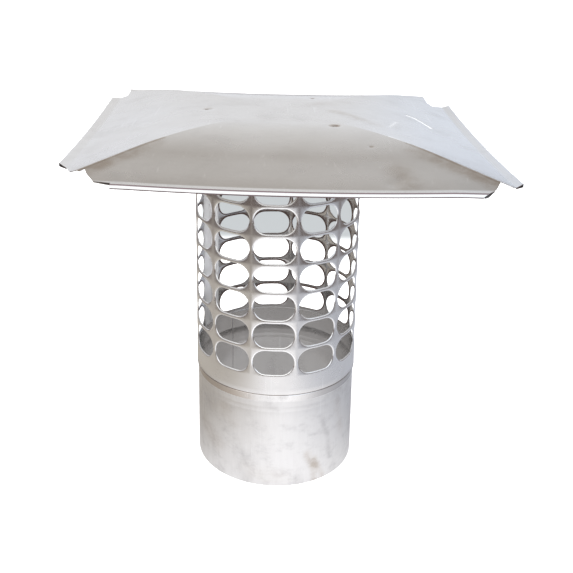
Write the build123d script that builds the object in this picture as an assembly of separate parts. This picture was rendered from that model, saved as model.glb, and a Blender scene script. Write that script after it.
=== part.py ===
from build123d import *
import math
import os

# Chimney cap for a round flue: a square hipped lid on a slotted screen tube, with a collar that slips in the flue.
# Millimetres, +Z up. The origin is the centre of the collar's bottom rim, and -Y is the front.
# Bearings are degrees round the tube from the front, counted towards +X.

# Sheet
sheet = 0.6

# Collar
collar_od = 149.2
collar_body_height = 87.0
shoulder_height = 6.6
shoulder_flare = 1.1
neck_length = 17.0
neck_gap = 0.1
collar_lap_bearing = 205.0

# Screen tube
seat_gap = 0.8
screen_height = 239.0
first_row_rise = 31.1
row_pitch = 26.4
slot_length = 36.8
slot_height = 22.6
column_angle = 31.05
column_count = 11
front_column_bearing = -1.4
columns_left_of_front = 3

# Lap seams
lap_width = 16.0
lap_slit = 0.5

# Lid
lid_size = 354.6
crown_half = 48.0
crown_bend_radius = 275.0
panel_slope = 15.6
edge_sag_radius = 2965.0
hem_width = 9.5
hem_height = 2.2
fold_flats = 3
lid_turn = 1.0
lid_tilt = 0.93
lid_shift = 3.6

# Corner clips: points from the side edge to the front or back edge, each as (distance in from the side edge,
# distance in from the front or back edge). The deepest point lies on the crease.
front_left_clip = [(0, 62), (9.5, 46), (17, 24), (25, 21.5), (28, 25), (30, 20), (37, 9.5), (47, 0)]
front_right_clip = [(0, 32), (9.5, 18), (14, 14), (20, 22), (25, 12.5), (33, 3), (40, 0)]
back_left_clip = [(0, 41), (12, 42), (17, 40), (17, 17), (14, 0)]
back_right_clip = [(0, 41), (16.5, 56), (21.5, 60), (25, 51), (25, 18), (21, 0)]

# Tabs that hold the lid
tab_bearings = [-94.0, 38.0, 152.0]
tab_width = 18.0
tab_reach = 15.0
tab_rise = 3.7
tab_gap = 0.1

# Worked out from the sizes above
collar_radius = collar_od / 2
shoulder_radius = collar_radius + shoulder_flare
shoulder_top = collar_body_height + shoulder_height
neck_radius = shoulder_radius - sheet - neck_gap
screen_radius = shoulder_radius
screen_bottom = shoulder_top + seat_gap
screen_top = screen_bottom + screen_height
first_row_height = screen_bottom + first_row_rise
slot_corner_run = 0.4 * slot_height
slot_corner_rise = 0.29 * slot_height
row_count = int((screen_height - first_row_rise - slot_height / 2) / row_pitch) + 1
crown_height = screen_top + tab_rise
lid_half = lid_size / 2
fold_radius = hem_height / 2
fold_start = lid_half - fold_radius
hem_start = lid_half - hem_width
bend_end = crown_half + crown_bend_radius * math.sin(math.radians(panel_slope))
bend_drop = crown_bend_radius * (1 - math.cos(math.radians(panel_slope)))
hem_drop = bend_drop + (hem_start - bend_end) * math.tan(math.radians(panel_slope))
roof_depth = crown_height
lid_seat = Location((lid_shift, 0, crown_height), (0, lid_tilt, lid_turn))


def around(bearing, shape):
    """Turn a shape that was made at the front to its bearing round the tube."""
    return shape.rotate(Axis.Z, bearing)


def ring_part(section, bearing, width, radius):
    """Part of a ring: a section in the XZ plane, turned through an arc that is width long at radius."""
    arc = math.degrees(width / radius)
    return revolve(section, Axis.Z, arc).rotate(Axis.Z, bearing - 90 - arc / 2)


def outline_face(points):
    """A face in the XZ plane through points given as (radius or x, height)."""
    return make_face(Plane.XZ * Polyline(*points, close=True))


def collar():
    """A rolled strip with a shoulder that carries the screen and a neck that goes inside it."""
    wall = [
        (collar_radius, 0),
        (collar_radius, collar_body_height),
        (shoulder_radius, shoulder_top),
        (neck_radius, shoulder_top),
        (neck_radius, shoulder_top + neck_length),
        (neck_radius - sheet, shoulder_top + neck_length),
        (neck_radius - sheet, shoulder_top - sheet),
        (shoulder_radius - sheet, shoulder_top - sheet),
        (collar_radius - sheet, collar_body_height),
        (collar_radius - sheet, 0),
    ]
    body = revolve(outline_face(wall), Axis.Z, 360)
    slit = around(collar_lap_bearing, Pos(0, -collar_radius, 0) * Box(lap_slit, 10 * sheet, 3 * shoulder_top))
    lap_wall = [(radius - sheet, height) for radius, height in wall]
    lap = ring_part(outline_face(lap_wall), collar_lap_bearing, lap_width, collar_radius)
    return body - slit + lap


def slot(row, column):
    """One slot's cutter: a long round-ended hole through the front wall, turned to its column."""
    bearing = front_column_bearing + (column - columns_left_of_front) * column_angle
    height = first_row_height + row * row_pitch
    outline = Plane.XZ.offset(screen_radius / 2) * Pos(0, height) * slot_outline()
    return around(bearing, extrude(outline, screen_radius))


def slot_outline():
    """A long hole with three flats for each of its round ends, which keeps the many slots light."""
    side, top = slot_length / 2, slot_height / 2
    corner = [(side, top - slot_corner_rise), (side - slot_corner_run, top)]
    upper = corner + [(-x, y) for x, y in corner[::-1]]
    return Polygon(*upper, *[(-x, -y) for x, y in upper], align=None)


def screen():
    """A rolled slotted strip with a lap seam, and tabs at its top that bend in under the crown."""
    ceiling = lid_seat * roof(sheet + tab_gap)
    below_tabs = lid_seat * roof(2 * sheet + tab_gap)
    wall = Cylinder(screen_radius, crown_height) - Cylinder(screen_radius - sheet, crown_height)
    wall = Pos(0, 0, screen_bottom + crown_height / 2) * wall
    tab_room = Part() + [around(bearing, tab_plan()) for bearing in tab_bearings]
    middle = screen_bottom + screen_height / 2
    keep = Pos(0, 0, middle) * Box(3 * screen_radius, 3 * screen_radius, screen_height)
    wall = wall & (keep + tab_room) & ceiling
    tabs = (ceiling - below_tabs) & tab_room & Cylinder(screen_radius - sheet, 3 * crown_height)
    wall = wall + tabs

    last_column = front_column_bearing + (column_count - 1 - columns_left_of_front) * column_angle
    first_column = front_column_bearing - columns_left_of_front * column_angle + 360
    seam = (last_column + first_column) / 2
    slit = around(seam, Pos(0, -screen_radius, middle) * Box(lap_slit, 10 * sheet, screen_height + sheet))
    lap_wall = [
        (screen_radius, screen_bottom),
        (screen_radius + sheet, screen_bottom),
        (screen_radius + sheet, screen_top),
        (screen_radius, screen_top),
    ]
    lap = ring_part(outline_face(lap_wall), seam, lap_width, screen_radius)
    slots = [slot(row, column) for row in range(row_count) for column in range(column_count)]
    return wall - slit + lap - slots


def tab_plan():
    """The room that a front tab takes: tab_width wide, from outside the tube to tab_reach inside its wall."""
    return Pos(0, -screen_radius, screen_top) * Box(tab_width, 2 * tab_reach, 2 * tab_reach)


def roof_section():
    """Half of the roof's cross-section in the XZ plane, from the middle out to where the hem's fold starts."""
    crown = Line((0, 0), (crown_half, 0))
    bend = CenterArc((crown_half, -crown_bend_radius), crown_bend_radius, 90, -panel_slope)
    slope = Line(bend @ 1, (hem_start, -hem_drop))
    brim = Line(slope @ 1, (fold_start, -hem_drop))
    rest = Polyline(brim @ 1, (fold_start, -roof_depth), (0, -roof_depth), (0, 0))
    return make_face(Plane.XZ * Curve([crown, bend, slope, brim, rest]))


def sag(section, length):
    """Sweep a section along Y on a long arc, so that the middle of the edge hangs lower than its ends."""
    reach = math.degrees(math.asin(length / 2 / edge_sag_radius))
    axis = Axis((0, 0, edge_sag_radius), (1, 0, 0))
    return revolve(section.rotate(axis, -reach), axis, 2 * reach)


def roof(depth):
    """A block whose top lies depth below the lid's upper face: two crossed barrels that meet in four creases."""
    half = roof_section()
    barrel = sag(Pos(0, 0, -depth) * (half + half.mirror(Plane.YZ)), 1.1 * lid_size)
    return barrel & barrel.rotate(Axis.Z, 90)


def hem():
    """The +X edge's fold: the sheet turns under and comes back with an open gap inside."""
    outside = fold_arc(fold_radius)
    inside = fold_arc(fold_radius - sheet)
    tip = [(hem_start, -hem_drop - hem_height), (hem_start, -hem_drop - hem_height + sheet)]
    return sag(outline_face(outside + tip + inside[::-1]), lid_size - 2 * hem_width)


def fold_arc(radius):
    """Points round the outside of the fold, from the lid's upper face to its lower one, as a few flats."""
    middle = -hem_drop - fold_radius
    angles = [math.radians(90 - 180 * flat / fold_flats) for flat in range(fold_flats + 1)]
    return [(fold_start + radius * math.cos(angle), middle + radius * math.sin(angle)) for angle in angles]


def corner_clip(points, side, end):
    """A cutter for one corner. side and end are -1 or 1, and say which corner it is."""
    inside = [(side * (lid_half - across), end * (lid_half - along)) for across, along in points]
    beyond = 1.2 * lid_half
    first = (side * beyond, inside[0][1])
    corner = (side * beyond, end * beyond)
    last = (inside[-1][0], end * beyond)
    plan = make_face(Polyline(first, *inside, last, corner, close=True))
    return Pos(0, 0, -roof_depth) * extrude(plan, 2 * roof_depth)


def lid():
    """One sheet: a hipped roof with four folded hems and clipped corners."""
    skin = roof(0) - roof(sheet)
    edge = hem()
    skin += [edge.rotate(Axis.Z, turn) for turn in (0, 90, 180, 270)]
    skin -= corner_clip(front_left_clip, -1, -1)
    skin -= corner_clip(front_right_clip, 1, -1)
    skin -= corner_clip(back_left_clip, -1, 1)
    skin -= corner_clip(back_right_clip, 1, 1)
    return lid_seat * skin


os.makedirs("parts", exist_ok=True)
pieces = {
    "lid": lid(),
    "screen": screen(),
    "collar": collar(),
}
for name, piece in pieces.items():
    export_step(piece, f"parts/{name}.step")
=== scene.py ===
"""Chimney cap: a hipped stainless lid on a slotted screen tube, with the collar that slips in the flue."""

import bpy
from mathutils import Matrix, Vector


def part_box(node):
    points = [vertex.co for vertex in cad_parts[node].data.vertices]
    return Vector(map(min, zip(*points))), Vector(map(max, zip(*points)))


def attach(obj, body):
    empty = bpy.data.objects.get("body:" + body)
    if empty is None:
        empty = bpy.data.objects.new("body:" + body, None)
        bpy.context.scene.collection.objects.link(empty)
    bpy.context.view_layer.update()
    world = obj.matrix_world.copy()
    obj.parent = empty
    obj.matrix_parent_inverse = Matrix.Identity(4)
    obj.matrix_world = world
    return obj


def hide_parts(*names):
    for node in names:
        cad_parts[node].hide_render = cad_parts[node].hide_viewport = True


bl_info = {
    "name": "Chimney cap",
    "version": (1, 0, 0),
    "blender": (4, 5, 0),
    "location": "View3D > Sidebar > Chimney cap",
    "description": "Makes the sheet-metal pieces of a chimney cap and the stage it stands on",
    "category": "Object",
}

from math import cos, degrees, exp, pi, radians, sin, sqrt, tan

import bmesh
import bpy
from bpy.props import FloatProperty, FloatVectorProperty, IntProperty, PointerProperty
from bpy.types import Operator, Panel, PropertyGroup
from mathutils import Matrix, Quaternion, Vector, noise

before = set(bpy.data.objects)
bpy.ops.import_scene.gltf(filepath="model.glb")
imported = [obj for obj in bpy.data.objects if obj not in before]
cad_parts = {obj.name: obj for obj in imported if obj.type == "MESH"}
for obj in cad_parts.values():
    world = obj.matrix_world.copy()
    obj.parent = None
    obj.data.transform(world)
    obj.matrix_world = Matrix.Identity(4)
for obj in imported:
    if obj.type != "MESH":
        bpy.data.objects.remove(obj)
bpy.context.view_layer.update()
screen_low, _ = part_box("screen")

# A millimetre, and how close two places are to count as one, in metres
MM = 0.001
TINY = 1e-6

# Side of the photograph in pixels, and half the side of the stage's planes in metres
PHOTO_SIZE = 573
STAGE_HALF = 15


def length(name, description, millimetres):
    """A size, given in millimetres."""
    return FloatProperty(name=name, description=description, default=millimetres * MM, unit="LENGTH")


def angle(name, description, turn):
    """An angle, given in degrees."""
    return FloatProperty(name=name, description=description, default=radians(turn), subtype="ANGLE")


def colour(name, description, default):
    """A colour, given as red, green and blue."""
    return FloatVectorProperty(name=name, description=description, default=default, subtype="COLOR", size=3)


class LidSizes(PropertyGroup):
    """Sizes of the hipped lid"""

    size: length("Size", "Length of one side", 354.6)
    sheet: length("Sheet", "Thickness", 0.6)
    crown_height: length("Crown height", "Height of the crown's middle", 337.1)
    crown_half: length("Crown half", "Half the width of the flat crown", 48)
    bend_radius: length("Bend radius", "Radius of the crown's bends", 275)
    slope: angle("Panel slope", "Slope of the four panels", 15.6)
    edge_sag: length("Edge sag radius", "Radius on which each edge hangs", 2965)
    hem_width: length("Hem width", "Width of a hem", 9.5)
    hem_height: length("Hem height", "Height of the fold", 2.8)
    hem_rise: length("Hem rise", "Rise of a hem's inner edge", 1.54)
    front_lift: length("Front lift", "Lift of the front brim", 1.4)
    front_brim: length("Front brim", "Flat part behind the front hem's nose", 6.4)
    nose_slope: angle("Nose slope", "Slope of the front hem's nose", 56)
    nose_bend: length("Nose bend", "Half the bend above the nose", 0.5)
    nose_radius: length("Nose radius", "Radius of the fold under the nose", 0.7)
    nose_rise: length("Nose rise", "Rise of the front hem's inner edge past its lift", 1.2)
    # The side line gets a painted highlight, and the back line painted shade
    side_line: length("Side line", "Bright line beside each side hem", 1)
    back_line: length("Back line", "Dark line along the back edge", 2.2)
    pinch: length("Pinch", "Rise of the creases at the corners", 0.5)
    turn: angle("Turn", "Turn of the lid on its tube", 1)
    tilt: angle("Tilt", "Tilt down to the right", 0.93)
    shift: length("Shift", "Shift to the right", 3.6)
    wave: length("Waves", "Height of the panels' slack waves", 0.22)
    mesh_step: length("Mesh step", "Size of the faces", 2.4)


class ScreenSizes(PropertyGroup):
    """Sizes of the slotted tube"""

    radius: length("Radius", "Outer radius", 75.7)
    sheet: length("Sheet", "Thickness", 0.6)
    height: length("Height", "Length of the tube", 239)
    first_row: length("First row", "Lowest row above the rim", 31.1)
    row_pitch: length("Row pitch", "From row to row", 26.4)
    rows: IntProperty(name="Rows", description="Rows of slots", default=8)
    column_angle: angle("Column angle", "From column to column", 31.05)
    columns: IntProperty(name="Columns", description="Columns of slots", default=11)
    front_column: angle("Front column", "Bearing of the front column", -1.4)
    columns_left: IntProperty(name="Columns left", description="Columns left of the front one", default=3)
    slot_length: length("Slot length", "Length of a slot", 37.2)
    slot_height: length("Slot height", "Height of a slot", 22.6)
    lip_width: length("Lip width", "Width of a slot's rolled edge", 1.4)
    lip_depth: length("Lip depth", "Depth of a slot's rolled edge", 0.9)
    lap: length("Lap", "Overlap at the seam", 16)
    welds: IntProperty(name="Welds", description="Spot welds down the seam", default=8)
    tab_width: length("Tab width", "Width of a tab", 18)
    tab_reach: length("Tab reach", "Length of a tab", 14)
    tab_bend: length("Tab bend", "Radius of a tab's bend", 1.5)
    tab_gap: length("Tab gap", "Room between a tab and the lid", 0.1)


class CollarSizes(PropertyGroup):
    """Sizes of the collar, and of the spot welds on all pieces"""

    radius: length("Radius", "Outer radius", 74.6)
    sheet: length("Sheet", "Thickness", 0.6)
    body_height: length("Body height", "Height up to the shoulder", 87)
    shoulder_height: length("Shoulder height", "Height of the shoulder", 6.6)
    flare: length("Flare", "How far the shoulder stands out", 1.1)
    neck: length("Neck", "Length of the neck inside the screen", 17)
    neck_gap: length("Neck gap", "Room between the neck and the screen", 0.1)
    line_depth: length("Line depth", "Depth of the faint rolled lines", 0.05)
    lap: length("Lap", "Overlap at the seam", 16)
    lap_gap: length("Lap gap", "Room between the lap's layers", 0.1)
    seam: angle("Seam", "Bearing of the seam", 205)
    welds: IntProperty(name="Welds", description="Spot welds down the seam", default=4)
    weld_radius: length("Weld radius", "Radius of a spot weld", 2.2)
    weld_height: length("Weld height", "Height of a spot weld", 0.22)


class FinishSettings(PropertyGroup):
    """Colours of the sheet, its marks and its cut edges, and of its painted shade, reflections and highlights
    """

    sheet_colour: colour("Sheet", "Colour of the satin sheet", (0.87, 0.865, 0.86))
    patch_colour: colour("Patches", "Colour of handled patches", (0.8, 0.79, 0.78))
    # Also the cool painted reflection at the right of the collar's shoulder
    smear_and_reflection_colour: colour("Smears", "Colour of grimy smears", (0.58, 0.57, 0.57))
    # Also painted shade on the lid's creases and hollow and the screen's top, and a warm painted reflection
    # on the shoulder
    heat_tint_and_shade_colour: colour("Heat tint", "Straw tint beside the welds", (0.42, 0.33, 0.24))
    # Also the painted shade in the gap above the collar's shoulder and on the backs of the slot lips
    burn_and_shade_colour: colour("Burn", "Brown of burnt welds and dark gaps", (0.2, 0.13, 0.11))
    # Also the painted highlights on the lid and the slot lips, and the painted light inside the screen's seam
    edge_and_highlight_colour: colour("Cut edge", "Colour of the bare cut edges", (0.95, 0.95, 0.95))


class StageSettings(PropertyGroup):
    """Where the camera is and what it points at"""

    focal_pixels: FloatProperty(name="Focal length", description="In the photograph's pixels", default=892.24)
    centre_x: FloatProperty(name="Centre x", description="Column that the camera points at", default=244.3)
    centre_y: FloatProperty(name="Centre y", description="Row that the camera points at", default=170.9)
    camera_distance: length("Distance", "From the origin to the camera", 934.7)
    camera_height: angle("Camera elevation", "Elevation of the camera", 32.89)
    camera_yaw: angle("Yaw", "Camera turned right", -2.26)
    camera_pitch: angle("Pitch", "Camera turned down", 16.14)
    camera_roll: angle("Roll", "Camera rolled", 0.19)


# Corner cuts: points as (distance in from the side edge, distance in from the front or back edge) in
# millimetres, from the one edge to the other
CORNER_CUTS = {
    (-1, -1): [(0, 62), (9.5, 46), (17, 24), (25, 21.5), (28, 25), (30, 20), (37, 9.5), (50, 6.2), (50, 0)],
    (1, -1): [(0, 32), (9.5, 18), (14, 14), (20, 22), (25, 12.5), (33, 3), (40, 0)],
    (-1, 1): [(0, 41), (12, 42), (17, 40), (17, 17), (14, 0)],
    (1, 1): [(0, 41), (16.5, 56), (21.5, 60), (25, 51), (25, 18), (21, 0)],
}

# How far from a crease the lid's mesh is cut along it, in millimetres
CREASE_LINES = (0, 0.6, 1.6, 3.2, 6, 10)

# Slack waves in the lid, per metre: broad ones, and fine ones over them
BROAD_WAVES = 14
FINE_WAVES = 30

# Bearings of the tabs in degrees, and the turns in radians by which a tab's bend is drawn
TAB_BEARINGS = (-94, 38, 152)
TAB_TURNS = (0, 0.5, 1.05, pi / 2)

# The rolled edge of a slot in section: shares of its width out from the slot, and of its depth
LIP_PROFILE = [(1, 0), (0.35, 0.4), (0, 1)]

# How far the collar's faint rolled lines lie below its shoulder, in millimetres
ROLLED_LINES = (10.5, 5.5)

# Places in a piece's list of finishes, after the two sides of its sheet: on the lid, and on the screen
# On the lid: painted shade in its bends
BEND_SHADE_FINISH = 2
# On the lid: its cut edge, whose bright finish also paints highlights beside its hems
EDGE_AND_HIGHLIGHT_FINISH = 3
# On the screen: the front of its slot lips, with a painted highlight
SLOT_HIGHLIGHT_FINISH = 2

# Where the lid is welded to its tabs, from above in millimetres, and how tinted and how burnt each weld is
LID_WELDS = [(-64.8, 1.6, 0.3, 0.12), (45.8, -54.7, 0.9, 0.8), (31.9, 60, 0.1, 0)]

# Lines on the lid's right panel, as points of its plan in millimetres: dented, with painted highlights along
# the hook and the arc and painted shade along the hollow
HIGHLIGHT_HOOK = [(116, 30.5), (122, 27.6), (128.6, 16), (134, 2.2)]
HIGHLIGHT_ARC = [(90.5, -40.5), (99.5, -13)]
HOLLOW = [(46.6, -0.5), (77.4, -42.9)]

# Half width and depth in millimetres of the dent round each weld, and of the other dents after their points
WELD_DENT = (4.2, 0.4)
LID_DENTS = [
    (HIGHLIGHT_HOOK, 2.6, 0.38),
    (HIGHLIGHT_ARC, 3.5, 0.2),
    ([(67.4, -103.7), (68, -103.7)], 1.6, 0.3),
    ([(78, -160), (86, -152)], 5, 0.25),
    (HOLLOW, 6, 0.16),
]

# Marks on the lid: points of its plan and half widths where a mark starts to fade and ends in millimetres,
# kind and strength. Painted light is a painted highlight, a tint is brown, from heat at the welds and as
# painted shade along the creases and in the hollow, and a smear is grime
LID_MARKS = [
    # Painted highlights along the hook and the arc
    (HIGHLIGHT_HOOK, 0.4, 2.4, "rub", 0.9),
    (HIGHLIGHT_ARC, 0.3, 3, "rub", 0.3),
    ([(67.4, -103.7), (67.9, -103.7)], 0.6, 2.2, "tint", 0.7),
    ([(84, -138), (88, -160)], 0, 18, "tint", 0.3),
    # Brown along the hollow: painted shade
    (HOLLOW, 0, 12, "tint", 0.3),
    ([(30, 30), (60, 40)], 0, 16, "tint", 0.12),
    # Brown bands below the two front creases, and dark lines along them: painted shade
    ([(100, -110), (160, -170)], 0, 13, "tint", 0.25),
    ([(118, -126), (160, -168)], 0, 12, "tint", 0.25),
    ([(136, -144), (160, -168)], 0, 11, "tint", 0.25),
    ([(-100, -108), (-160, -168)], 0, 12, "tint", 0.2),
    ([(-118, -126), (-160, -168)], 0, 11, "tint", 0.25),
    ([(-136, -144), (-160, -168)], 0, 10, "tint", 0.25),
    ([(-96, -97.6), (-166, -167.6)], 0.2, 2, "tint", 0.45),
    ([(96, -97.6), (166, -167.6)], 0.2, 2, "tint", 0.5),
    # A bright line along the right front crease on the side panel: painted highlight
    ([(84, -82.4), (168, -166.4)], 0.2, 1.6, "rub", 0.6),
]

# Painted shade round the screen's top under the lid, and marks on the collar: bearings in degrees and
# heights, then the same
UNDER_LID_SHADE = [([(-80, 336), (-40, 336), (0, 336), (40, 336), (80, 336)], 8, 36, "tint", 0.6)]
COLLAR_MARKS = [
    ([(24, 30), (29, 16), (31, 0)], 0, 7, "tint", 0.35),
    ([(30, 24), (37, 2)], 0, 5, "tint", 0.35),
    ([(34, 66), (41, 44), (44, 20)], 0, 5, "smear", 0.4),
    ([(-50, 66), (-38, 70), (-30, 60)], 0, 12, "tint", 0.12),
    ([(-62, 40), (-45, 30)], 0, 16, "tint", 0.16),
    ([(-20, 14), (4, 8)], 0, 16, "tint", 0.1),
    ([(50, 74), (56, 40)], 0, 8, "tint", 0.16),
]


def smooth(value, low, high):
    """A soft rise from 0 to 1 between two values."""
    share = min(1, max(0, (value - low) / (high - low)))
    return share * share * (3 - 2 * share)


def panel_drop(distance, lid):
    """How far the roof's outline lies below the crown, at a distance from the middle."""
    hem_start = lid.size / 2 - lid.hem_width
    bend_end = lid.crown_half + lid.bend_radius * sin(lid.slope)
    if distance <= lid.crown_half:
        return 0
    if distance <= bend_end:
        return lid.bend_radius - sqrt(lid.bend_radius**2 - (distance - lid.crown_half) ** 2)
    bend_drop = lid.bend_radius * (1 - cos(lid.slope))
    return bend_drop + (min(distance, hem_start) - bend_end) * tan(lid.slope)


def barrel_height(across, along, lid):
    """Height of one barrel of the roof, whose outline is swept along a long hanging arc."""
    radius = lid.edge_sag + panel_drop(abs(across), lid)
    return lid.edge_sag - sqrt(radius**2 - along**2)


def front_hem_height(x, y, lid):
    """The front brim is lifted between the corners, and its outer edge turns down as a nose."""
    half = lid.size / 2
    lift_start = 0.68 * half
    lifted = 0.65 * half
    level = 0.9 * half
    lift = lid.front_lift * smooth(-y, lift_start, half - lid.hem_width)
    lift *= 1 - smooth(abs(x), lifted, level)
    nose = max(0, -y - (half - lid.hem_width + lid.front_brim))
    return lift - nose * tan(lid.nose_slope)


def crease_height(x, y, lid):
    """The creases are pinched up near the corners and fade out towards the crown."""
    off = abs(abs(x) - abs(y)) / sqrt(2)
    ridge = 0.4 * exp(-off / (1.3 * MM))
    flanks = 0.6 * exp(-off / (7 * MM))
    faded = 0.42 * lid.size
    full = 0.85 * lid.size
    return lid.pinch * (ridge + flanks) * smooth(abs(x) + abs(y), faded, full)


def lid_place(point, lid):
    """A place in the world, over the lid's own plan."""
    out = Vector((point.x - lid.shift, point.y, 0))
    return Matrix.Rotation(-lid.turn, 4, "Z") @ out


def lid_dents(lid):
    """Every dent of the lid: the ones in its plan, and one round each weld."""
    dents = list(LID_DENTS)
    for x, y, *_ in LID_WELDS:
        plan = lid_place(Vector((x, y, 0)) * MM, lid) / MM
        dents.append(([(plan.x, plan.y), (plan.x + 0.5, plan.y)], *WELD_DENT))
    return dents


def dent_depth(x, y, dents):
    """How deep the lid is dented at a place of its plan."""
    depth = 0
    for points, half_width, deep in dents:
        for (ax, ay), (bx, by) in zip(points, points[1:]):
            run = Vector((bx - ax, by - ay)) * MM
            out = Vector((x - ax * MM, y - ay * MM))
            share = min(1, max(0, out.dot(run) / run.length_squared))
            near = (out - share * run).length / (half_width * MM)
            depth = max(depth, deep * MM * exp(-near * near))
    return depth


def roof_height(x, y, lid, dents):
    """The lid's upper face: the lower of two crossed barrels, with creases, slack waves and dents."""
    height = min(barrel_height(x, y, lid), barrel_height(y, x, lid) + front_hem_height(x, y, lid))
    broad = noise.noise(Vector((x * BROAD_WAVES, y * BROAD_WAVES, 3)))
    fine = noise.noise(Vector((x * FINE_WAVES, y * FINE_WAVES, 9)))
    inner = lid.size / 2 - lid.hem_width - max(abs(x), abs(y))
    slack = lid.wave * (broad + 0.4 * fine) * smooth(inner, 0, 30 * MM)
    return height + crease_height(x, y, lid) + slack - dent_depth(x, y, dents)


def is_inside(point, outline):
    """Whether a point in plan lies inside a closed outline."""
    inside = False
    for first, second in zip(outline, outline[1:] + outline[:1]):
        if (first.y > point.y) != (second.y > point.y):
            crossing = first.x + (point.y - first.y) / (second.y - first.y) * (second.x - first.x)
            inside ^= point.x < crossing
    return inside


def cut_corner(bm, side, end, lid):
    """Cut one corner of the lid, through the roof and the hems together."""
    half = lid.size / 2
    cuts = CORNER_CUTS[side, end]
    points = [Vector((side * (half - across * MM), end * (half - along * MM), 0)) for across, along in cuts]
    reach = max(max(pair) for pair in cuts) * MM + 2 * lid.mesh_step
    for first, second in zip(points, points[1:]):
        parts = parts_near(bm, lambda middle: min(side * middle.x, end * middle.y) > half - reach)
        normal = (second - first).cross(Vector((0, 0, 1))).normalized()
        bmesh.ops.bisect_plane(bm, geom=parts, plane_co=first, plane_no=normal, dist=TINY)
    beyond = 1.2 * half
    outline = [Vector((side * beyond, points[0].y, 0)), *points]
    outline += [Vector((points[-1].x, end * beyond, 0)), Vector((side * beyond, end * beyond, 0))]
    waste = [face for face in bm.faces if is_inside(face.calc_center_median(), outline)]
    bmesh.ops.delete(bm, geom=waste, context="FACES")


def fold_path(is_front, lid):
    """The fold in section, as (out, up) from the sheet's edge: round under, then back up to the sheet."""
    start = -lid.nose_slope if is_front else 0
    radius = lid.nose_radius if is_front else lid.hem_height / 2
    steps = 8
    turn = (pi + start) / steps
    out = 0
    height = 0
    path = []
    for step in range(steps):
        heading = start - (step + 0.5) * turn
        out += radius * turn * cos(heading)
        height += radius * turn * sin(heading)
        path.append((out, height))
    reach = lid.hem_width - lid.hem_height / 2
    rise = lid.front_lift + lid.nose_rise if is_front else lid.hem_rise
    for share in (0.35, 0.7, 1):
        path.append((out - reach * share, height + rise * share))
    return path


def parts_near(bm, is_near):
    """The faces whose middles are near, with their edges and points."""
    parts = set()
    for face in bm.faces:
        if is_near(face.calc_center_median()):
            parts.update([face, *face.verts, *face.edges])
    return list(parts)


def row_of_edges(bm, axis, position, across=0, middle=0, reach=float("inf")):
    """The free edges at one position along an axis, and within reach of a middle across it."""

    def is_there(vert):
        off = abs(vert.co[across] - middle) - reach
        return abs(vert.co[axis] - position) < 10 * TINY and off < 10 * TINY

    return [edge for edge in bm.edges if edge.is_boundary and all(map(is_there, edge.verts))]


def extrude_rim(bm, rim, move):
    """Pull a row of edges out by a step, and hand back the new row and its points."""
    made = bmesh.ops.extrude_edge_only(bm, edges=rim)["geom"]
    verts = [item for item in made if isinstance(item, bmesh.types.BMVert)]
    bmesh.ops.translate(bm, verts=verts, vec=move)
    return [item for item in made if isinstance(item, bmesh.types.BMEdge)], verts


def fold_hem(bm, axis, side, lid):
    """Fold one edge of the lid under."""
    fold_start = (lid.size - lid.hem_height) / 2
    hem_start = lid.size / 2 - lid.hem_width
    rim = row_of_edges(bm, axis, side * fold_start, 1 - axis, 0, hem_start)
    before = (0, 0)
    for out, height in fold_path(axis == 1 and side == -1, lid):
        move = Vector((0, 0, height - before[1]))
        move[axis] = side * (out - before[0])
        old = set(bm.faces)
        rim, _ = extrude_rim(bm, rim, move)
        for face in set(bm.faces) - old:
            # Faces of the front and back folds that turn down get painted shade
            face.material_index = BEND_SHADE_FINISH if axis == 1 and height < before[1] else 0
        before = (out, height)


def lid_seat(lid):
    """Where the lid sits: its turn, tilt and shift on the tube, with the crown at its height."""
    seat = Matrix.Translation((lid.shift, 0, lid.crown_height))
    return seat @ Matrix.Rotation(lid.tilt, 4, "Y") @ Matrix.Rotation(lid.turn, 4, "Z")


def around(bearing, reach, height):
    """A place by its bearing from the front in degrees, its distance from the axis and its height."""
    return Vector((reach * sin(radians(bearing)), -reach * cos(radians(bearing)), height))


def face_outwards(bm, outward):
    """Point a sheet's faces the same way, to the side that outward gives for each face's middle."""
    bmesh.ops.recalc_face_normals(bm, faces=bm.faces)
    if sum(face.normal.dot(outward(face.calc_center_median())) for face in bm.faces) < 0:
        bmesh.ops.reverse_faces(bm, faces=bm.faces)


def add_object(name, content):
    """A new object in the scene, with its mesh, light or camera."""
    made = bpy.data.objects.new(name, content)
    bpy.context.scene.collection.objects.link(made)
    return made


def new_mesh(name, bm, finishes):
    mesh = bpy.data.meshes.new(name)
    bm.to_mesh(mesh)
    bm.free()
    for finish in finishes:
        mesh.materials.append(finish)
    return mesh


def settle(name, bm, thickness, finishes, bevel=0, rim=None):
    """Give a surface its thickness and small edge rounds, and hand back a finished mesh object.

    A face's back takes the finish after its own. Its cut edge takes the last one, or the one rim places on.
    """
    mesh = new_mesh(name, bm, finishes)
    rough = add_object(name + "_sheet", mesh)
    if thickness:
        solid = rough.modifiers.new("Sheet", "SOLIDIFY")
        solid.thickness = thickness
        solid.offset = -1
        solid.use_even_offset = True
        solid.material_offset = 1
        solid.material_offset_rim = len(finishes) - 1 if rim is None else rim
    if bevel:
        rounds = rough.modifiers.new("Rounds", "BEVEL")
        rounds.width = bevel
        rounds.segments = 2
        rounds.limit_method = "ANGLE"
        rounds.angle_limit = radians(50)
        rounds.material = -1
    bpy.context.view_layer.update()
    done = bpy.data.meshes.new_from_object(rough.evaluated_get(bpy.context.evaluated_depsgraph_get()))
    bpy.data.objects.remove(rough)
    bpy.data.meshes.remove(mesh)
    done.name = name
    done.shade_smooth()
    done.set_sharp_from_angle(angle=radians(40))
    piece = add_object(name, done)
    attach(piece, "root")
    return piece


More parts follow.
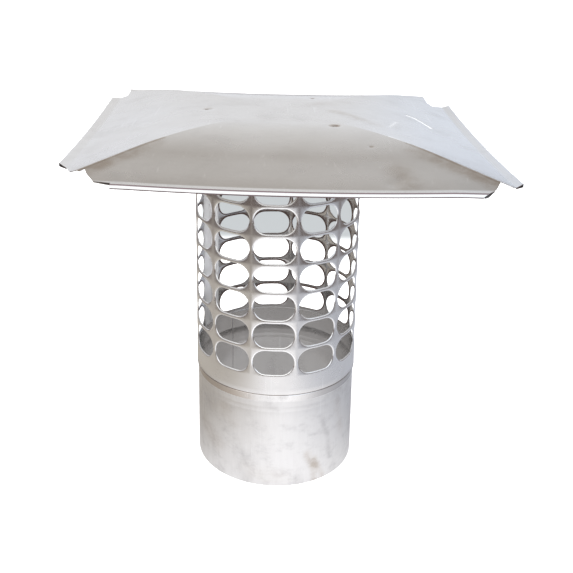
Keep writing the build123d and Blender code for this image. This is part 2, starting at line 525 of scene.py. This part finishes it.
class Graph:
    """The nodes of a finish or a backdrop, with short ways to add and link them"""

    def __init__(self, tree, space="Object"):
        self.nodes = tree.nodes
        self.links = tree.links
        self.place = self.nodes.new("ShaderNodeTexCoord").outputs[space]

    def fill(self, node, inputs):
        """Link each input to a socket, or give it a plain value."""
        for name, value in inputs.items():
            if isinstance(value, bpy.types.NodeSocket):
                self.links.new(value, node.inputs[name])
            else:
                node.inputs[name].default_value = value

    def add(self, kind, result, inputs, **settings):
        """Add a shader node of one kind, and hand back one of its outputs."""
        node = self.nodes.new("ShaderNode" + kind)
        for name, value in settings.items():
            setattr(node, name, value)
        self.fill(node, inputs)
        return node.outputs[result]

    def noise(self, scale, detail, roughness, stretch=(1, 1, 1), turn=(0, 0, 0)):
        values = {"Vector": self.place, "Scale": stretch, "Rotation": turn}
        place = self.add("Mapping", "Vector", values)
        values = {"Vector": place, "Scale": scale, "Detail": detail, "Roughness": roughness}
        return self.add("TexNoise", "Fac", values)

    def step(self, value, low, high, first=0, last=1):
        """A soft change from first to last between two values."""
        values = {"Value": value, "From Min": low, "From Max": high, "To Min": first, "To Max": last}
        return self.add("MapRange", "Result", values, interpolation_type="SMOOTHSTEP")

    def maths(self, operation, first, second):
        return self.add("Math", "Value", {0: first, 1: second}, operation=operation)

    def times(self, first, second):
        """A product: of two masks, where they overlap."""
        return self.maths("MULTIPLY", first, second)

    def distance(self, value, middle=0):
        """How far a value is from its middle one, either way."""
        return self.maths("ABSOLUTE", self.maths("SUBTRACT", value, middle), 0)

    def vector(self, operation, result, first, second):
        return self.add("VectorMath", result, {0: first, 1: second}, operation=operation)

    def mix(self, factor, first, second, blend="MIX"):
        """Change from one colour to another. Each is a socket or three numbers."""
        values = {"Factor": factor}
        for name, shade in (("A", first), ("B", second)):
            values[name] = shade if isinstance(shade, bpy.types.NodeSocket) else (*shade, 1)
        return self.add("Mix", "Result", values, data_type="RGBA", blend_type=blend)

    def streak(self, start, end, inner, outer, strength):
        """A soft mark along a line from one place to another."""
        run = Vector(end) - Vector(start)
        away = self.vector("SUBTRACT", "Vector", self.place, start)
        share = self.vector("DOT_PRODUCT", "Value", away, tuple(run / run.length_squared))
        share = self.add("Clamp", "Result", {"Value": share})
        foot = self.add("VectorMath", "Vector", {0: tuple(run), "Scale": share}, operation="SCALE")
        return self.step(self.vector("DISTANCE", "Value", away, foot), inner, outer, strength, 0)

    def bump(self, height, strength, distance):
        values = {"Height": height, "Strength": strength, "Distance": distance}
        return self.add("Bump", "Normal", values)

    def parts(self):
        """The X, Y and Z of each place."""
        return self.add("SeparateXYZ", "X", {"Vector": self.place}).node.outputs

    def ramp(self, value, stops):
        """A colour ramp through stops, each a position and a colour."""
        output = self.add("ValToRGB", "Color", {"Fac": value})
        ramp = output.node.color_ramp
        while len(ramp.elements) < len(stops):
            ramp.elements.new(1)
        for element, (position, shade) in zip(ramp.elements, stops):
            element.position = position
            element.color = (*shade, 1)
        return output


def new_finish(name):
    """A new material with its graph and its shader."""
    material = bpy.data.materials.new(name)
    material.use_nodes = True
    return material, Graph(material.node_tree), material.node_tree.nodes["Principled BSDF"]


def shaded(colour, shade):
    """A colour made lighter or darker by one factor."""
    return [shade * part for part in colour]


def add_marks(graph, colour, marks, uneven):
    """Put the marks over a sheet's colour. Hands back where light is painted on as well, or None."""
    finish = bpy.context.scene.cap_finish
    shades = {"tint": finish.heat_tint_and_shade_colour, "smear": finish.smear_and_reflection_colour, "burn": finish.burn_and_shade_colour}
    painted_light_mask = None
    for points, inner, outer, kind, strength in marks:
        for first, second in zip(points, points[1:]):
            mark = graph.streak(tuple(first), tuple(second), inner * MM, outer * MM, strength)
            if kind != "rub":
                colour = graph.mix(graph.times(mark, uneven), colour, shades[kind])
            elif painted_light_mask is None:
                painted_light_mask = mark
            else:
                painted_light_mask = graph.maths("MAXIMUM", painted_light_mask, mark)
    return colour, painted_light_mask


def add_shoulder(graph, colour, low, high):
    """Paint reflections on a polished band and shade in the gap above it. Hands back where the band is as
    well.
    """
    finish = bpy.context.scene.cap_finish
    parts = graph.parts()
    above = graph.step(parts["Z"], low, low + 0.4 * MM)
    band = graph.times(above, graph.step(parts["Z"], high + 0.2 * MM, high))
    # Painted reflections: warm at the band's left, cool at its right
    warm = graph.times(band, graph.step(parts["X"], -8 * MM, -40 * MM, 0, 0.6))
    cool = graph.times(band, graph.step(parts["X"], 18 * MM, 45 * MM, 0, 1))
    colour = graph.mix(warm, colour, finish.heat_tint_and_shade_colour)
    colour = graph.mix(cool, colour, finish.smear_and_reflection_colour)
    # A dark line in the gap above the band: painted shade
    gap = graph.step(parts["Z"], high - 0.1 * MM, high + 0.2 * MM, 0, 0.85)
    gap = graph.times(gap, graph.step(parts["Z"], high + 1.6 * MM, high + 1.2 * MM))
    return graph.mix(gap, colour, finish.burn_and_shade_colour), band


def sheet_steel(
    name, stretch, gloss, grime, marks=(), polished=None, shade=1, scratched=(0.9, 0.9, 0.035), graining=0.14
):
    """Satin stainless sheet: rolled grain, handled patches, smears, scratches and marks, some of them painted
    shade and highlights.

    stretch and scratched squeeze the grain and the scratches along X, Y and Z. polished gives the heights
    where a polished band starts and ends, which carries painted reflections and painted shade above it.
    """
    finish = bpy.context.scene.cap_finish
    material, graph, shader = new_finish(name)
    patches = graph.noise(9, 5, 0.55)
    sheet = shaded(finish.sheet_colour, shade)
    patch = shaded(finish.patch_colour, shade)
    colour = graph.mix(graph.step(patches, 0.36, 0.62), patch, sheet)
    grain = graph.noise(55, 8, 0.7, stretch=stretch)
    colour = graph.mix(graining, colour, grain, "OVERLAY")
    cloud = graph.noise(13, 6, 0.62, stretch=(1.5, 1.5, 0.8), turn=(0.5, 0.4, 0))
    blotch = graph.noise(55, 7, 0.7, stretch=(1, 1, 1.5), turn=(0.3, 0.2, 0.1))
    smear = graph.step(cloud, 0.48, 0.76, 0, grime)
    smear = graph.maths("ADD", smear, graph.step(blotch, 0.46, 0.74, 0, 0.5 * grime))
    colour = graph.mix(smear, colour, finish.smear_and_reflection_colour)
    scratch = graph.noise(420, 2, 0.5, stretch=scratched, turn=(0.06, 0.1, 0))
    scratch = graph.step(scratch, 0.66, 0.74, 0, 0.5)
    colour = graph.mix(scratch, colour, finish.edge_and_highlight_colour)
    uneven = graph.step(blotch, 0.36, 0.6, 0.35, 1)
    colour, painted_light_mask = add_marks(graph, colour, marks, uneven)
    rough = graph.step(patches, 0.3, 0.7, gloss - 0.05, gloss + 0.05)
    rough = graph.maths("ADD", rough, graph.times(smear, 0.25))
    if polished:
        colour, band = add_shoulder(graph, colour, *polished)
        dull = graph.maths("SUBTRACT", 1, graph.times(band, 0.72))
        rough = graph.times(rough, dull)
    metal = 1
    # Painted light: a brighter, less metallic finish where highlights are painted
    if painted_light_mask is not None:
        colour = graph.mix(painted_light_mask, colour, finish.edge_and_highlight_colour)
        metal = graph.step(painted_light_mask, 0, 1, 1, 0.3)
    bump = graph.bump(graph.maths("ADD", grain, graph.times(scratch, -0.8)), 0.05, 0.4 * MM)
    graph.fill(shader, {"Base Color": colour, "Metallic": metal, "Roughness": rough, "Normal": bump})
    return material


def bare_steel(name, shade, dark, gloss):
    """Bare metal of cut edges and welds: fine shear marks over a bright or tinted shade."""
    # This finish also gives the painted shade in the lid's bends, and the painted highlight and shade on the
    # slot lips
    material, graph, shader = new_finish(name)
    marks = graph.noise(900, 3, 0.5)
    colour = graph.mix(marks, shaded(shade, dark), shade)
    rough = graph.step(marks, 0.2, 0.8, gloss - 0.1, gloss + 0.1)
    bump = graph.bump(marks, 0.15, 0.1 * MM)
    graph.fill(shader, {"Base Color": colour, "Metallic": 1, "Roughness": rough, "Normal": bump})
    return material


def marks_around(table, radius):
    """Marks that are given by bearing and height, set on a tube."""
    marks = []
    for points, *rest in table:
        marks.append(([around(bearing, radius, height * MM) for bearing, height in points], *rest))
    return marks


def weld_marks(places):
    """The straw tint round each spot weld of a seam."""
    return [([place, place + Vector((0, 0, MM))], 2, 6, "tint", 0.4) for place in places]


def lid_top(point, lid, dents):
    """Height of the lid's upper face above a place in the world."""
    plan = lid_place(point, lid)
    level = lid.crown_height - (point.x - lid.shift) * sin(lid.tilt)
    return level + roof_height(plan.x, plan.y, lid, dents)


def lid_welds(lid, dents):
    """Where the lid is welded to its tabs, on its upper face."""
    places = [Vector((x, y, 0)) * MM for x, y, *_ in LID_WELDS]
    return [Vector((place.x, place.y, lid_top(place, lid, dents))) for place in places]


def seam_bearing(screen):
    """The middle of the screen's lap in degrees, halfway along the unslotted stretch between the columns."""
    middle = (screen.columns - 1) / 2 - screen.columns_left
    return degrees(screen.front_column + middle * screen.column_angle) + 180


def seam_welds(bearing, reach, start, height, count):
    """The spot welds that hold a lap, down its middle."""
    return [around(bearing, reach, start + height * (place + 0.5) / count) for place in range(count)]


def screen_welds(screen):
    reach = screen.radius + screen.sheet
    return seam_welds(seam_bearing(screen), reach, screen_low.z, screen.height, screen.welds)


def collar_welds(collar):
    bearing = degrees(collar.seam + collar.lap / 2 / collar.radius)
    return seam_welds(bearing, collar.radius, 0, collar.body_height, collar.welds)


def lay_out_lid(bm, lid, dents):
    """The flat sheet, cut along its creases and bends and finer in its dents, with its faces' finishes."""
    fold_start = (lid.size - lid.hem_height) / 2
    hem_start = lid.size / 2 - lid.hem_width
    nose = hem_start + lid.front_brim
    steps = round(2 * fold_start / lid.mesh_step)
    bmesh.ops.create_grid(bm, x_segments=steps, y_segments=steps, size=fold_start)
    lines = []
    for offset in CREASE_LINES:
        for sign in (-1, 1) if offset else (1,):
            lines += [(Vector((x, y, 0)).normalized(), sign * offset * MM) for x, y in ((1, 1), (1, -1))]
    for offset in (-hem_start, hem_start, lid.side_line - hem_start, hem_start - lid.side_line):
        lines += [(Vector((1, 0, 0)), offset), (Vector((0, 1, 0)), offset)]
    lines.append((Vector((0, 1, 0)), fold_start - lid.back_line))
    lines += [(Vector((0, -1, 0)), nose + step) for step in (-lid.nose_bend, 0, lid.nose_bend)]
    for normal, offset in lines:
        parts = bm.verts[:] + bm.edges[:] + bm.faces[:]
        bmesh.ops.bisect_plane(bm, geom=parts, plane_co=normal * offset, plane_no=normal, dist=TINY)
    dented = []
    for edge in bm.edges:
        if all(dent_depth(vert.co.x, vert.co.y, dents) > 0.01 * MM for vert in edge.verts):
            dented.append(edge)
    bmesh.ops.subdivide_edges(bm, edges=dented, cuts=1, use_grid_fill=True)
    for face in bm.faces:
        middle = face.calc_center_median()
        # The bend above the front nose and a line along the back edge get painted shade
        if abs(-middle.y - nose) < lid.nose_bend or middle.y > fold_start - lid.back_line:
            face.material_index = BEND_SHADE_FINISH
        # The line beside each side hem and the front nose take the cut edge's bright finish: painted
        # highlight
        elif hem_start - lid.side_line < abs(middle.x) < hem_start or -middle.y > nose:
            face.material_index = EDGE_AND_HIGHLIGHT_FINISH


def lid_finishes(lid, dents, finish):
    """The two sides of the lid's sheet, painted shade in its bends, and its cut edge, which also paints
    highlights.
    """
    marks = []
    for points, *rest in LID_MARKS:
        plan = [Vector((x * MM, y * MM)) for x, y in points]
        places = [Vector((*place, roof_height(*place, lid, dents))) for place in plan]
        marks.append(([lid_seat(lid) @ place for place in places], *rest))
    for weld, (_, _, tint, burn) in zip(lid_welds(lid, dents), LID_WELDS):
        line = [weld, weld + Vector((1.5 * MM, 0, 0))]
        marks += [(line, 2.5, 5.5, "tint", tint), (line, 1.2, 3.6, "burn", burn)]
    grain = (1, 6, 1)
    scratched = (0.9, 0.04, 0.9)
    return [
        sheet_steel("lid_steel", grain, 0.25, 0.22, marks, scratched=scratched),
        # The inside is a darker copy of the sheet: painted shade
        sheet_steel("lid_inside", grain, 0.3, 0.4, shade=0.85, scratched=scratched),
        # Dark brown in the lid's bends: painted shade
        bare_steel("bend_painted_shade", (0.3, 0.23, 0.24), 0.7, 0.4),
        # The cut edge's bright finish, also a painted highlight beside the side hems and on the front nose
        bare_steel("lid_cut_edge_and_highlight", finish.edge_and_highlight_colour, 0.86, 0.35),
    ]


class CAP_OT_lid(Operator):
    """Make the hipped lid: one sheet with four creases, folded hems and cut corners"""

    bl_idname = "chimney_cap.lid"
    bl_label = "Lid"

    def execute(self, context):
        lid = context.scene.cap_lid
        dents = lid_dents(lid)
        bm = bmesh.new()
        lay_out_lid(bm, lid, dents)
        for vert in bm.verts:
            vert.co.z = roof_height(vert.co.x, vert.co.y, lid, dents)
        for axis in (0, 1):
            for side in (-1, 1):
                fold_hem(bm, axis, side, lid)
        for side, end in CORNER_CUTS:
            cut_corner(bm, side, end, lid)
        bmesh.ops.transform(bm, matrix=lid_seat(lid), verts=bm.verts)
        face_outwards(bm, lambda middle: Vector((0, 0, 1)))
        piece = settle("hipped_lid", bm, lid.sheet, lid_finishes(lid, dents, context.scene.cap_finish))
        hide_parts("lid")
        return {"FINISHED"}


def slot_rings(bm, screen):
    """One slot's cell as rings of as many points: its border, the flat in it and the rolled-in edge."""
    side = screen.radius * screen.column_angle / 2
    top = screen.row_pitch / 2
    end = screen.slot_height / 2
    straight = screen.slot_length / 2 - end
    flats = 2
    turns = 12
    corner = turns // 4
    levels = [(None, 0)]
    levels += [(share * screen.lip_width, deep * screen.lip_depth) for share, deep in LIP_PROFILE]
    rings = []
    for margin, depth in levels:
        places = []
        for step in range(turns):
            turn = pi / 2 - pi * step / turns
            if margin is not None:
                places.append((straight + (end + margin) * cos(turn), (end + margin) * sin(turn)))
            elif step < corner:
                places.append((straight + (side - straight) * step / corner, top))
            elif step <= turns - corner:
                places.append((side, top - 2 * top * (step - corner) / (turns - 2 * corner)))
            else:
                places.append((straight + (side - straight) * (turns - step) / corner, -top))
        low = -top if margin is None else -end - margin
        places += [(straight - 2 * straight * step / flats, low) for step in range(flats)]
        places += [(-x, -y) for x, y in places]
        ring = bmesh.ops.create_circle(bm, segments=len(places), radius=1)["verts"]
        for vert, (x, y) in zip(ring, places):
            vert.co = (x, -depth, y)
        rings.append(ring)
    return rings


def copy_along(bm, count, step):
    """Repeat all that is in the mesh, so that it stands count times in a row."""
    unit = bm.verts[:] + bm.edges[:] + bm.faces[:]
    for place in range(1, count):
        made = bmesh.ops.duplicate(bm, geom=unit)["geom"]
        verts = [item for item in made if isinstance(item, bmesh.types.BMVert)]
        bmesh.ops.translate(bm, verts=verts, vec=place * Vector(step))


def screen_finishes(screen, finish):
    """The two sides of the screen's sheet, and a slot lip's front and back, in painted highlight and shade.
    """
    grain = (1, 1, 6)
    seam = seam_bearing(screen)
    # A pale stripe inside the seam, in place of the light seen through the slots: painted light
    rub = [([(seam, 118), (seam, 328)], 11, 14, "rub", 0.95)]
    # Painted shade round the screen's top, under the lid
    outer = weld_marks(screen_welds(screen)) + marks_around(UNDER_LID_SHADE, screen.radius)
    inner = marks_around(rub, screen.radius - screen.sheet)
    return [
        sheet_steel("screen_steel", grain, 0.27, 0.25, outer),
        # The inside is a darker copy of the sheet: painted shade
        sheet_steel("screen_inside", grain, 0.14, 0.4, inner, shade=0.8),
        # The slot lips' front, bright: painted highlight
        bare_steel("slot_lip_highlight", finish.edge_and_highlight_colour, 0.95, 0.2),
        # The slot lips' back, dark brown: painted shade
        bare_steel("slot_lip_back_shade", finish.burn_and_shade_colour, 0.6, 0.3),
    ]


def rolled(flat, screen):
    """A place on the flat strip, rolled round the tube's axis."""
    bearing = screen.front_column + flat.x / screen.radius - screen.columns_left * screen.column_angle
    return around(degrees(bearing), screen.radius + flat.y, screen_low.z + flat.z)


def punch_strip(bm, screen):
    """The slotted part of the strip, laid flat: x along the sheet, z up."""
    rings = slot_rings(bm, screen)
    for first, second in zip(rings, rings[1:]):
        pair = set(first), set(second)
        edges = [edge for edge in bm.edges if any(set(edge.verts) <= ring for ring in pair)]
        for face in bmesh.ops.bridge_loops(bm, edges=edges)["faces"]:
            # The rolled lips take the bright finish: painted highlight
            face.material_index = 0 if first is rings[0] else SLOT_HIGHLIGHT_FINISH
    copy_along(bm, screen.columns, (screen.radius * screen.column_angle, 0, 0))
    copy_along(bm, screen.rows, (0, 0, screen.row_pitch))
    bmesh.ops.remove_doubles(bm, verts=bm.verts, dist=0.01 * MM)
    bmesh.ops.translate(bm, verts=bm.verts, vec=(0, 0, screen.first_row))


def add_margins(bm, screen):
    """The plain edges at the bottom and top, and the two ends that lap over each other."""
    low = screen.first_row - screen.row_pitch / 2
    high = low + screen.rows * screen.row_pitch
    for start, target, count in ((low, 0, 4), (high, screen.height, 2)):
        rim = row_of_edges(bm, 2, start)
        for step in range(count):
            rim, _ = extrude_rim(bm, rim, (0, 0, (target - start) / count))
    width = screen.radius * screen.column_angle
    gap = 2 * pi * screen.radius - screen.columns * width
    rim = row_of_edges(bm, 0, -width / 2)
    count = 3
    for step in range(count):
        rim, _ = extrude_rim(bm, rim, (-gap / 2 / count, 0, 0))
    rim = row_of_edges(bm, 0, (screen.columns - 0.5) * width)
    joggle = (gap - screen.lap) / 2
    middle = 0.6 * joggle + 0.4 * gap
    before = 0
    for stop in (joggle - 1.5 * MM, joggle + 0.5 * MM, middle, joggle + screen.lap):
        rim, verts = extrude_rim(bm, rim, (stop - before, 0, 0))
        if stop > joggle:
            bmesh.ops.translate(bm, verts=verts, vec=(0, screen.sheet - verts[0].co.y, 0))
        before = stop


def add_tab(bm, screen, lid, bearing):
    """A tab at the top edge, bent in under the crown."""
    dents = lid_dents(lid)
    middle = screen.radius * (bearing - screen.front_column + screen.columns_left * screen.column_angle)
    half = screen.tab_width / 2
    margin = screen.height - 12 * MM
    for side in (middle - half, middle + half):
        parts = parts_near(bm, lambda place: place.z > margin and abs(place.x - middle) < 2 * half)
        bmesh.ops.bisect_plane(bm, geom=parts, plane_co=(side, 0, 0), plane_no=(1, 0, 0), dist=TINY)
    rim = row_of_edges(bm, 2, screen.height, 0, middle, half)
    bend = screen.tab_bend
    path = [(bend * (cos(turn) - 1), bend * (1 - sin(turn))) for turn in TAB_TURNS]
    path += [(-bend - screen.tab_reach * share, 0) for share in (0.25, 0.5, 0.75, 1)]
    for reach, below in path:
        rim, verts = extrude_rim(bm, rim, (0, 0, 0))
        for vert in verts:
            vert.co.y = reach
            ceiling = lid_top(rolled(vert.co, screen), lid, dents) - lid.sheet - screen.tab_gap
            vert.co.z = ceiling - below - screen_low.z


class CAP_OT_screen(Operator):
    """Make the slotted tube: one slot's cell, repeated over the flat strip, then rolled"""

    bl_idname = "chimney_cap.screen"
    bl_label = "Screen"

    def execute(self, context):
        screen = context.scene.cap_screen
        bm = bmesh.new()
        punch_strip(bm, screen)
        add_margins(bm, screen)
        for bearing in TAB_BEARINGS:
            add_tab(bm, screen, context.scene.cap_lid, radians(bearing))
        for vert in bm.verts:
            vert.co = rolled(vert.co, screen)
        face_outwards(bm, lambda middle: Vector((middle.x, middle.y, 0)))
        finishes = screen_finishes(screen, context.scene.cap_finish)
        piece = settle("slotted_screen", bm, screen.sheet, finishes, bevel=0.12 * MM, rim=0)
        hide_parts("screen")
        return {"FINISHED"}


def collar_outline(collar):
    """The collar in section, as (out, up): a wall with two faint rolled lines, the shoulder and the neck."""
    body = collar.body_height
    top = body + collar.shoulder_height
    neck = collar.flare - collar.sheet - collar.neck_gap
    outline = [(0, height * MM) for height in (0, 2, 16, 32, 48, 62, 70)]
    for below in ROLLED_LINES:
        line = [(-1, 0), (-0.4, -collar.line_depth), (0.4, -collar.line_depth), (1, 0)]
        outline += [(out, body + (rise - below) * MM) for rise, out in line]
    outline += [(0, body - 1 * MM), (0.08 * collar.flare, body), (0.5 * collar.flare, (body + top) / 2)]
    outline += [(collar.flare, top - 0.4 * MM), (collar.flare - 0.3 * MM, top)]
    return outline + [(neck, top), (neck, top + 1 * MM), (neck, top + collar.neck)]


def collar_finishes(collar, finish):
    """The two sides of the collar's sheet, and its cut edge."""
    marks = marks_around(COLLAR_MARKS, collar.radius) + weld_marks(collar_welds(collar))
    polished = (collar.body_height - 0.2 * MM, collar.body_height + collar.shoulder_height)
    return [
        # Its shoulder band gets painted reflections, and painted shade in the gap above it
        sheet_steel("collar_steel", (4, 4, 0.5), 0.4, 0.8, marks, polished, graining=0.42),
        # The inside is a slightly darker copy of the sheet: painted shade
        sheet_steel("collar_inside", (1, 1, 5), 0.2, 0.4, shade=0.95),
        bare_steel("collar_cut_edge", finish.edge_and_highlight_colour, 0.86, 0.35),
    ]


class CAP_OT_collar(Operator):
    """Make the collar: its outline is spun round the flue's axis, and its ends lap"""

    bl_idname = "chimney_cap.collar"
    bl_label = "Collar"

    def execute(self, context):
        collar = context.scene.cap_collar
        bm = bmesh.new()
        seam = degrees(collar.seam)
        outline = [around(seam, collar.radius + out, height) for out, height in collar_outline(collar)]
        verts = [bm.verts.new(place) for place in outline]
        edges = [bm.edges.new(pair) for pair in zip(verts, verts[1:])]
        steps = 180
        turn = 2 * pi / steps
        sweep = {"cent": (0, 0, 0), "axis": (0, 0, 1), "angle": (steps - 1) * turn, "steps": steps - 1}
        made = bmesh.ops.spin(bm, geom=verts + edges, **sweep)
        rim = [item for item in made["geom_last"] if isinstance(item, bmesh.types.BMEdge)]
        for step in range(1 + round(collar.lap / collar.radius / turn)):
            rim, verts = extrude_rim(bm, rim, (0, 0, 0))
            bmesh.ops.rotate(bm, verts=verts, cent=(0, 0, 0), matrix=Matrix.Rotation(turn, 3, "Z"))
            if step == 0:
                for vert in verts:
                    out = Vector((vert.co.x, vert.co.y, 0))
                    vert.co -= (collar.sheet + collar.lap_gap) * out.normalized()
        face_outwards(bm, lambda middle: Vector((middle.x, middle.y, 0)))
        piece = settle("flue_collar", bm, collar.sheet, collar_finishes(collar, context.scene.cap_finish))
        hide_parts("collar")
        return {"FINISHED"}


class CAP_OT_welds(Operator):
    """Make the spot welds that hold the two lap seams and the lid's tabs"""

    bl_idname = "chimney_cap.welds"
    bl_label = "Spot welds"

    def execute(self, context):
        scene = context.scene
        lid, collar = scene.cap_lid, scene.cap_collar
        places = screen_welds(scene.cap_screen) + collar_welds(collar)
        welds = [(place, Vector((place.x, place.y, 0))) for place in places]
        welds += [(place, Vector((0, 0, 1))) for place in lid_welds(lid, lid_dents(lid))]
        bm = bmesh.new()
        for place, outward in welds:
            turn = outward.to_track_quat("Z", "Y").to_matrix().to_4x4()
            dome = Matrix.Diagonal((collar.weld_radius, collar.weld_radius, collar.weld_height, 1))
            seat = Matrix.Translation(place) @ turn @ dome
            bmesh.ops.create_icosphere(bm, subdivisions=2, radius=1, matrix=seat)
        tint = [0.5 * part + 0.35 for part in scene.cap_finish.heat_tint_and_shade_colour]
        piece = settle("spot_welds", bm, 0, [bare_steel("weld_steel", tint, 0.75, 0.35)])
        return {"FINISHED"}


# The room that the metal mirrors: degrees up from the horizon behind to the one in front, and the light there
ROOM_LIGHT = [
    (-60, (0.9, 0.93, 0.98)),
    (7, (0.88, 0.9, 0.95)),
    (14, (0.83, 0.83, 0.84)),
    (26, (0.74, 0.73, 0.72)),
    (38, (0.62, 0.6, 0.58)),
    (48, (0.52, 0.49, 0.46)),
    (60, (0.3, 0.26, 0.22)),
    (76, (0.28, 0.25, 0.22)),
    (95, (1.25, 1.25, 1.25)),
    (159, (1.25, 1.25, 1.25)),
    (171, (0.22, 0.19, 0.17)),
]


def studio_world():
    """Light by direction: a pale wall behind, a dark ceiling and a broad soft box in front."""
    cool = (0.93, 0.985, 1.06)
    side_wall = (0.5, 0.49, 0.5)
    world = bpy.data.worlds.new("studio")
    world.use_nodes = True
    graph = Graph(world.node_tree, "Generated")
    parts = graph.parts()
    share = graph.step(graph.maths("ARCTAN2", parts["Z"], parts["Y"]), -pi, pi)
    share.node.interpolation_type = "LINEAR"
    room = graph.ramp(share, [((rise + 180) / 360, light) for rise, light in ROOM_LIGHT])
    room = graph.mix(graph.step(parts["X"], 0, 0.4), room, cool, "MULTIPLY")
    room = graph.mix(graph.step(graph.distance(parts["X"]), 0.6, 0.95), room, side_wall)
    graph.fill(graph.nodes["Background"], {"Color": room})
    return world


def table_card():
    """What the metal mirrors of the table: bright in front, dark far off, and dim inside the tube."""
    warm = (0.54, 0.5, 0.45)
    cool = (0.56, 0.58, 0.64)
    near = (0.74, 0.73, 0.72)
    bright = (1.18, 1.17, 1.19)
    dark = (0.14, 0.11, 0.1)
    inside = (0.45, 0.44, 0.44)
    material, graph, shader = new_finish("table_card")
    graph.nodes.remove(shader)
    parts = graph.parts()
    reach = graph.add("VectorMath", "Value", {0: graph.place}, operation="LENGTH")
    front = graph.step(graph.distance(parts["X"], 15 * MM), 0.28, 0)
    front = graph.times(front, graph.step(parts["Y"], 0.1, -0.12))
    table = graph.mix(graph.step(parts["X"], -0.15, 0.15), warm, cool)
    table = graph.mix(graph.step(reach, 0.22, 0.14), table, near, "MULTIPLY")
    table = graph.mix(front, table, bright)
    table = graph.mix(graph.step(reach, 0.35, 1.05), table, dark)
    table = graph.mix(graph.step(reach, 0.07, 0.075), inside, table)
    glow = graph.add("Emission", "Emission", {"Color": table})
    graph.fill(graph.nodes["Material Output"], {"Surface": glow})
    return material


def white_paper():
    """The pale floor, with a soft wedge of shadow on it behind the tube."""
    wedge_start = -0.785
    paper, shaded_paper = (0.95, 0.95, 0.95), (0.22, 0.235, 0.245)
    glow, shaded_glow = (1, 1, 1), (0.35, 0.36, 0.36)
    material, graph, shader = new_finish("white_paper")
    parts = graph.parts()
    along = graph.maths("SUBTRACT", parts["Y"], wedge_start)
    spread = graph.maths("DIVIDE", graph.distance(parts["X"]), along)
    shadow = graph.times(graph.step(parts["Y"], 0.54, 0.6), graph.step(spread, 0.095, 0.086))
    shadow = graph.times(shadow, graph.step(parts["Y"], 1.5, 1))
    colour = graph.mix(shadow, paper, shaded_paper)
    light = graph.mix(shadow, glow, shaded_glow)
    graph.fill(shader, {"Base Color": colour, "Roughness": 1})
    graph.fill(shader, {"Emission Color": light, "Emission Strength": 0.8})
    return material


def plain_plane(name, height, material):
    """A broad square sheet of the stage, lying flat."""
    bm = bmesh.new()
    bmesh.ops.create_grid(bm, x_segments=1, y_segments=1, size=STAGE_HALF)
    bmesh.ops.translate(bm, verts=bm.verts, vec=(0, 0, height))
    plane = add_object(name, new_mesh(name, bm, [material]))
    return plane


def add_lamp():
    """A broad lamp overhead, which the metal doesn't mirror."""
    light = bpy.data.lights.new("overhead", "AREA")
    light.energy = 40
    light.size = 2
    lamp = add_object("overhead", light)
    lamp.location = (0, -0.2, 2)
    lamp.visible_glossy = False


def add_camera(stage):
    """The camera, where the photograph was taken from."""
    optics = bpy.data.cameras.new("camera")
    optics.sensor_width = 36
    optics.lens = stage.focal_pixels / PHOTO_SIZE * optics.sensor_width
    optics.shift_x = (PHOTO_SIZE / 2 - stage.centre_x) / PHOTO_SIZE
    optics.shift_y = (stage.centre_y - PHOTO_SIZE / 2) / PHOTO_SIZE
    camera = add_object("camera", optics)
    height = stage.camera_height
    camera.location = stage.camera_distance * Vector((0, -cos(height), sin(height)))
    yaw = stage.camera_yaw
    forward = Vector((sin(yaw), cos(yaw), -tan(stage.camera_pitch)))
    roll = Quaternion((0, 0, 1), stage.camera_roll)
    camera.rotation_mode = "QUATERNION"
    camera.rotation_quaternion = forward.to_track_quat("-Z", "Y") @ roll
    return camera


class CAP_OT_stage(Operator):
    """Set the floor, the lights and the camera"""

    bl_idname = "chimney_cap.stage"
    bl_label = "Stage"

    def execute(self, context):
        scene = context.scene
        scene.view_settings.view_transform = "Standard"
        floor = plain_plane("floor", 0, white_paper())
        floor.visible_glossy = False
        card = plain_plane("table_card", -1 * MM, table_card())
        card.visible_camera = False
        card.visible_diffuse = False
        scene.world = studio_world()
        add_lamp()
        scene.camera = add_camera(scene.cap_stage)
        return {"FINISHED"}


class CAP_PT_panel(Panel):
    """The pieces of the cap, in the order they are made"""

    bl_idname = "CAP_PT_panel"
    bl_label = "Chimney cap"
    bl_space_type = "VIEW_3D"
    bl_region_type = "UI"
    bl_category = "Chimney cap"

    def draw(self, context):
        for operator in OPERATORS:
            self.layout.operator(operator.bl_idname)


GROUPS = {
    "cap_lid": LidSizes,
    "cap_screen": ScreenSizes,
    "cap_collar": CollarSizes,
    "cap_finish": FinishSettings,
    "cap_stage": StageSettings,
}
OPERATORS = (CAP_OT_stage, CAP_OT_lid, CAP_OT_screen, CAP_OT_collar, CAP_OT_welds)


def register():
    for cls in (*GROUPS.values(), *OPERATORS, CAP_PT_panel):
        bpy.utils.register_class(cls)
    for name, group in GROUPS.items():
        setattr(bpy.types.Scene, name, PointerProperty(type=group))


def unregister():
    for name in GROUPS:
        delattr(bpy.types.Scene, name)
    for cls in reversed((*GROUPS.values(), *OPERATORS, CAP_PT_panel)):
        bpy.utils.unregister_class(cls)


def main():
    register()
    bpy.ops.chimney_cap.stage()
    bpy.ops.chimney_cap.lid()
    bpy.ops.chimney_cap.screen()
    bpy.ops.chimney_cap.collar()
    bpy.ops.chimney_cap.welds()


if __name__ == "__main__":
    main()
